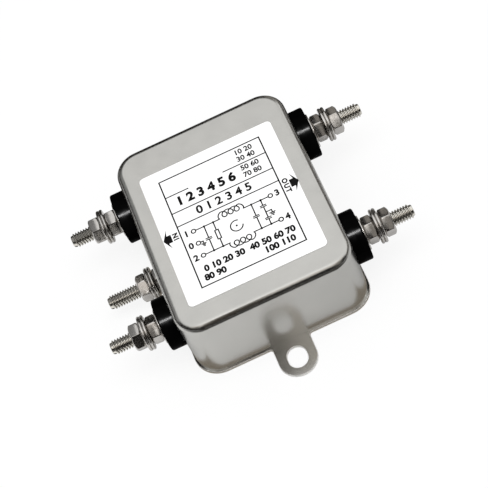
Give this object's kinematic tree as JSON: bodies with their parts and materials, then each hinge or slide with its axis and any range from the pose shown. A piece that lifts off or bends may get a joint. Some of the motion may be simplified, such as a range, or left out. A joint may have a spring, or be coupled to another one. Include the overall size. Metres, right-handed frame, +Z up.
{
  "type": "emi power line filter",
  "caption": "Stud-terminal mains interference filter in a drawn steel can with slotted mounting ears; its terminal nuts unscrew along their studs.",
  "frame": {"origin": "centre of the base plate's underside", "axes": "+Z up through the label, -X the line side with the earth stud, +X the load side, ears along Y"},
  "size_m": [0.0892, 0.0874, 0.0242],
  "materials": {
    "tinned_steel": "satin plated sheet steel",
    "plated_steel": "bright nickel plate",
    "black_plastic": "glossy moulded",
    "label_film": "printed white film",
    "fibre_sheet": "insulating fibre sheet",
    "tinned_brass": "tinned",
    "ferrite": "coated ferrite",
    "copper_wire": "enamelled copper wire",
    "film_box": "moulded box",
    "ceramic_disc": "dipped lacquer",
    "resistor_body": "dipped lacquer"
  },
  "bodies": {
    "case": {"can": "tinned_steel", "base_plate": "tinned_steel", "label": "label_film", "base_insulator": "fibre_sheet", "top_insulator": "fibre_sheet", "line_live_bushing": "black_plastic", "line_live_inner_bushing": "black_plastic", "line_live_stud": "plated_steel", "line_live_solder_tag": "tinned_brass", "line_live_seat_washer": "plated_steel", "line_live_clamp_nut": "plated_steel", "line_live_lower_washer": "plated_steel", "line_neutral_bushing": "black_plastic", "line_neutral_inner_bushing": "black_plastic", "line_neutral_stud": "plated_steel", "line_neutral_solder_tag": "tinned_brass", "line_neutral_seat_washer": "plated_steel", "line_neutral_clamp_nut": "plated_steel", "line_neutral_lower_washer": "plated_steel", "load_live_bushing": "black_plastic", "load_live_inner_bushing": "black_plastic", "load_live_stud": "plated_steel", "load_live_solder_tag": "tinned_brass", "load_live_seat_washer": "plated_steel", "load_live_clamp_nut": "plated_steel", "load_live_lower_washer": "plated_steel", "load_neutral_bushing": "black_plastic", "load_neutral_inner_bushing": "black_plastic", "load_neutral_stud": "plated_steel", "load_neutral_solder_tag": "tinned_brass", "load_neutral_seat_washer": "plated_steel", "load_neutral_clamp_nut": "plated_steel", "load_neutral_lower_washer": "plated_steel", "earth_stud": "plated_steel", "earth_solder_tag": "tinned_brass", "earth_clamp_nut": "plated_steel", "earth_lower_washer": "plated_steel", "choke_core": "ferrite", "choke_divider": "fibre_sheet", "live_winding": "copper_wire", "neutral_winding": "copper_wire", "line_x_capacitor": "film_box", "load_x_capacitor": "film_box", "live_y_capacitor": "ceramic_disc", "neutral_y_capacitor": "ceramic_disc", "bleed_resistor": "resistor_body"},
    "line_live_washer_body": {"line_live_upper_washer": "plated_steel"},
    "line_live_nut_body": {"line_live_nut": "plated_steel"},
    "line_neutral_washer_body": {"line_neutral_upper_washer": "plated_steel"},
    "line_neutral_nut_body": {"line_neutral_nut": "plated_steel"},
    "load_live_washer_body": {"load_live_upper_washer": "plated_steel"},
    "load_live_nut_body": {"load_live_nut": "plated_steel"},
    "load_neutral_washer_body": {"load_neutral_upper_washer": "plated_steel"},
    "load_neutral_nut_body": {"load_neutral_nut": "plated_steel"},
    "earth_washer_body": {"earth_upper_washer": "plated_steel"},
    "earth_nut_body": {"earth_nut": "plated_steel"}
  },
  "joints": [
    {"name": "line_live_nut_travel", "type": "slide", "parent": "case", "child": "line_live_washer_body", "axis": [-1, 0, 0], "range_m": [0, 0.006]},
    {"name": "line_live_nut_turn", "type": "hinge", "parent": "line_live_washer_body", "child": "line_live_nut_body", "pos_m": [-0.0368, 0.0193, 0.014], "axis": [1, 0, 0], "range_deg": [0, 2700.01]},
    {"name": "line_neutral_nut_travel", "type": "slide", "parent": "case", "child": "line_neutral_washer_body", "axis": [-1, 0, 0], "range_m": [0, 0.006]},
    {"name": "line_neutral_nut_turn", "type": "hinge", "parent": "line_neutral_washer_body", "child": "line_neutral_nut_body", "pos_m": [-0.0368, -0.0193, 0.014], "axis": [1, 0, 0], "range_deg": [0, 2700.01]},
    {"name": "load_live_nut_travel", "type": "slide", "parent": "case", "child": "load_live_washer_body", "axis": [1, 0, 0], "range_m": [0, 0.006]},
    {"name": "load_live_nut_turn", "type": "hinge", "parent": "load_live_washer_body", "child": "load_live_nut_body", "pos_m": [0.0368, 0.0193, 0.014], "axis": [-1, 0, 0], "range_deg": [0, 2700.01]},
    {"name": "load_neutral_nut_travel", "type": "slide", "parent": "case", "child": "load_neutral_washer_body", "axis": [1, 0, 0], "range_m": [0, 0.006]},
    {"name": "load_neutral_nut_turn", "type": "hinge", "parent": "load_neutral_washer_body", "child": "load_neutral_nut_body", "pos_m": [0.0368, -0.0193, 0.014], "axis": [-1, 0, 0], "range_deg": [0, 2700.01]},
    {"name": "earth_nut_travel", "type": "slide", "parent": "case", "child": "earth_washer_body", "axis": [-1, 0, 0], "range_m": [0, 0.0091]},
    {"name": "earth_nut_turn", "type": "hinge", "parent": "earth_washer_body", "child": "earth_nut_body", "pos_m": [-0.0311, 0, 0.0062], "axis": [1, 0, 0], "range_deg": [0, 4095.01]}
  ],
  "couplings": [
    {"joint": "line_live_nut_turn", "follows": "line_live_nut_travel", "rad_per_m": 7854},
    {"joint": "line_neutral_nut_turn", "follows": "line_neutral_nut_travel", "rad_per_m": 7854},
    {"joint": "load_live_nut_turn", "follows": "load_live_nut_travel", "rad_per_m": 7854},
    {"joint": "load_neutral_nut_turn", "follows": "load_neutral_nut_travel", "rad_per_m": 7854},
    {"joint": "earth_nut_turn", "follows": "earth_nut_travel", "rad_per_m": 7854}
  ]
}
